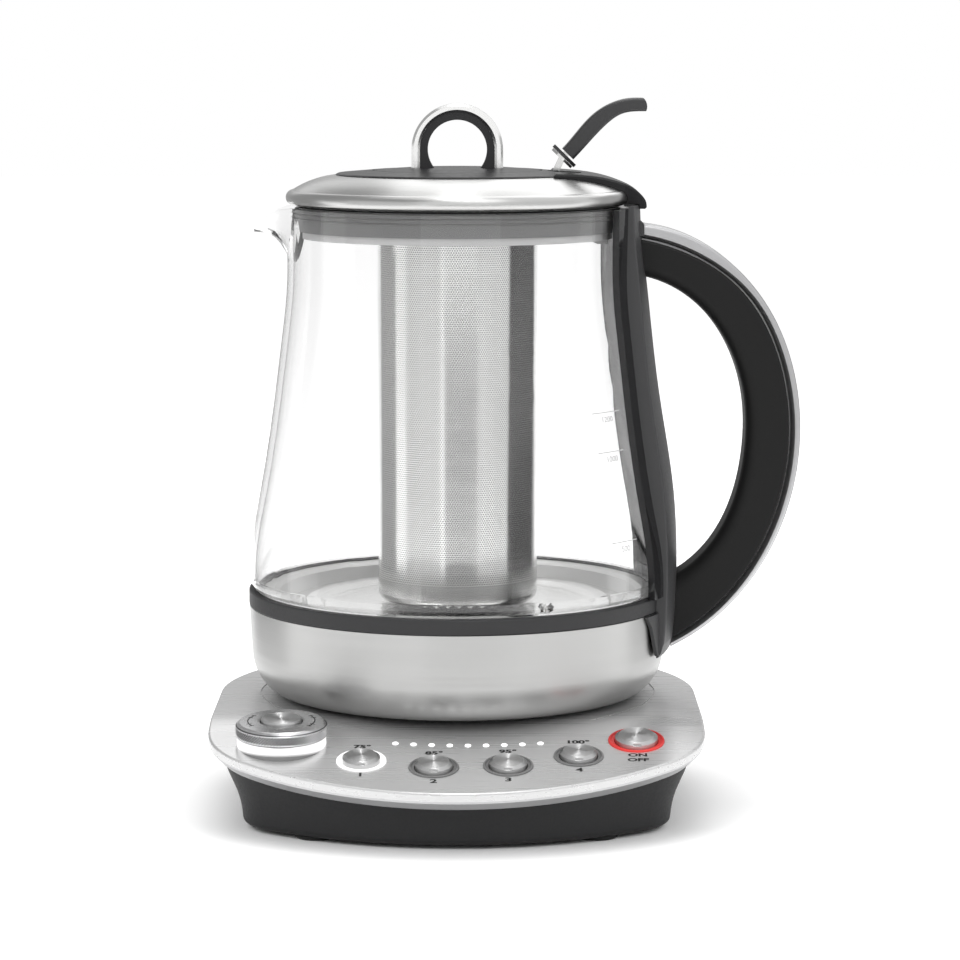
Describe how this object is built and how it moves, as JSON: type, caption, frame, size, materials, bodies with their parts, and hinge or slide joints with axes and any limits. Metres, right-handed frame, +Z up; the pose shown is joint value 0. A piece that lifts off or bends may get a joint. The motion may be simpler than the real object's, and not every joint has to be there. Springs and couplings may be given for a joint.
{
  "type": "automatic tea maker",
  "caption": "Glass kettle with lift-out tea infuser, lever lid and curved handle, on a powered base with a dial and push buttons.",
  "frame": {"origin": "middle of the bounding box at table level, under the base's feet", "axes": "+Z up, +X towards the kettle's handle, +Y to the back of the base; the dial and buttons face -Y"},
  "size_m": [0.2214, 0.21, 0.2654],
  "materials": {
    "steel_brushed": "brushed",
    "steel_polished": "polished",
    "steel_mesh": "fine perforated",
    "plate_steel": "brushed",
    "trim_silver": "satin",
    "black_plastic": "fine satin",
    "black_gloss": "gloss",
    "grip_soft": "soft satin",
    "jug_glass": "clear",
    "seal_grey": "satin",
    "seal_clear": "translucent",
    "foot_rubber": "matt",
    "light_white": "diffusing",
    "light_red": "diffusing",
    "knob_metal": "machined",
    "cap_metal": "satin",
    "board_green": "lacquered",
    "component_black": "moulded",
    "heater_metal": "oxidised",
    "screw_steel": "zinc plated",
    "spring_steel": "bright"
  },
  "bodies": {
    "base": {"base_shell": "black_plastic", "base_bottom_cover": "black_plastic", "rubber_feet": "foot_rubber", "base_screws": "screw_steel", "top_plate": "plate_steel", "trim_ring": "trim_silver", "kettle_seat_frame": "black_plastic", "base_connector": "black_plastic", "control_board": "board_green", "power_board": "board_green", "power_relay": "component_black", "transformer": "component_black", "cord_gland": "foot_rubber", "led_light_pipes": "light_white", "button_light_rings": "light_white", "power_light_ring": "light_red", "dial_light_ring": "light_white", "tact_switches": "component_black", "dial_encoder": "component_black"},
    "dial": {"dial": "knob_metal", "dial_shaft": "black_plastic"},
    "dial_button": {"dial_button": "cap_metal"},
    "temperature_button_1": {"temperature_button_1": "cap_metal"},
    "temperature_button_2": {"temperature_button_2": "cap_metal"},
    "temperature_button_3": {"temperature_button_3": "cap_metal"},
    "temperature_button_4": {"temperature_button_4": "cap_metal"},
    "power_button": {"power_button": "cap_metal"},
    "kettle": {"glass_jug": "jug_glass", "steel_shell": "steel_brushed", "collar_ring": "black_plastic", "glass_seal": "seal_grey", "heating_plate": "steel_polished", "floor_ring": "steel_brushed", "heating_element": "heater_metal", "temperature_probe": "steel_polished", "kettle_bottom": "black_plastic", "kettle_screws": "screw_steel", "kettle_studs": "screw_steel", "kettle_connector": "black_plastic", "strap_pad": "black_gloss", "handle_strap": "grip_soft", "handle_grip": "grip_soft", "handle_trim": "trim_silver"},
    "lid": {"lid_dome": "steel_brushed", "lid_cover": "black_gloss", "lid_plug": "black_plastic", "lid_seal": "seal_grey", "lid_clear_ring": "seal_clear", "lid_screws": "screw_steel", "lever_pin": "screw_steel", "lever_spring": "spring_steel"},
    "lever": {"lever_stem": "steel_polished", "lever_washer": "steel_polished", "lever_grip": "grip_soft"},
    "infuser": {"basket_tube": "steel_mesh", "basket_cup": "steel_brushed"},
    "infuser_cap": {"infuser_cap": "black_gloss", "arch_hoop": "steel_polished", "arch_liner": "black_gloss"}
  },
  "joints": [
    {"name": "kettle_lift", "type": "slide", "parent": "base", "child": "kettle", "axis": [0, 0, 1], "range_m": [0, 0.12]},
    {"name": "lid_lift", "type": "slide", "parent": "kettle", "child": "lid", "axis": [0, 0, 1], "range_m": [0, 0.165]},
    {"name": "infuser_lift", "type": "slide", "parent": "lid", "child": "infuser", "axis": [0, 0, 1], "range_m": [0, 0.17]},
    {"name": "infuser_cap_lift", "type": "slide", "parent": "infuser", "child": "infuser_cap", "axis": [0, 0, 1], "range_m": [0, 0.04]},
    {"name": "lever_press", "type": "hinge", "parent": "lid", "child": "lever", "pos_m": [0.0169, 0.01385, 0.2358], "axis": [0, 1, 0], "range_deg": [0, 12], "stiffness_Nm_per_rad": 0.1, "springref_deg": -11.46},
    {"name": "dial_turn", "type": "hinge", "parent": "base", "child": "dial", "pos_m": [-0.08315, -0.06274, 0.03325], "axis": [0, -0.0872, 0.9962], "continuous": true},
    {"name": "dial_press", "type": "slide", "parent": "dial", "child": "dial_button", "axis": [0, 0.0872, -0.9962], "range_m": [0, 0.0012], "stiffness_N_per_m": 600, "springref_m": -0.0012},
    {"name": "temperature_press_1", "type": "slide", "parent": "base", "child": "temperature_button_1", "axis": [0, 0.225, -0.9744], "range_m": [0, 0.0012], "stiffness_N_per_m": 600, "springref_m": -0.0012},
    {"name": "temperature_press_2", "type": "slide", "parent": "base", "child": "temperature_button_2", "axis": [0, 0.225, -0.9744], "range_m": [0, 0.0012], "stiffness_N_per_m": 600, "springref_m": -0.0012},
    {"name": "temperature_press_3", "type": "slide", "parent": "base", "child": "temperature_button_3", "axis": [0, 0.225, -0.9744], "range_m": [0, 0.0012], "stiffness_N_per_m": 600, "springref_m": -0.0012},
    {"name": "temperature_press_4", "type": "slide", "parent": "base", "child": "temperature_button_4", "axis": [0, 0.225, -0.9744], "range_m": [0, 0.0012], "stiffness_N_per_m": 600, "springref_m": -0.0012},
    {"name": "power_press", "type": "slide", "parent": "base", "child": "power_button", "axis": [0, 0.225, -0.9744], "range_m": [0, 0.0012], "stiffness_N_per_m": 600, "springref_m": -0.0012}
  ]
}
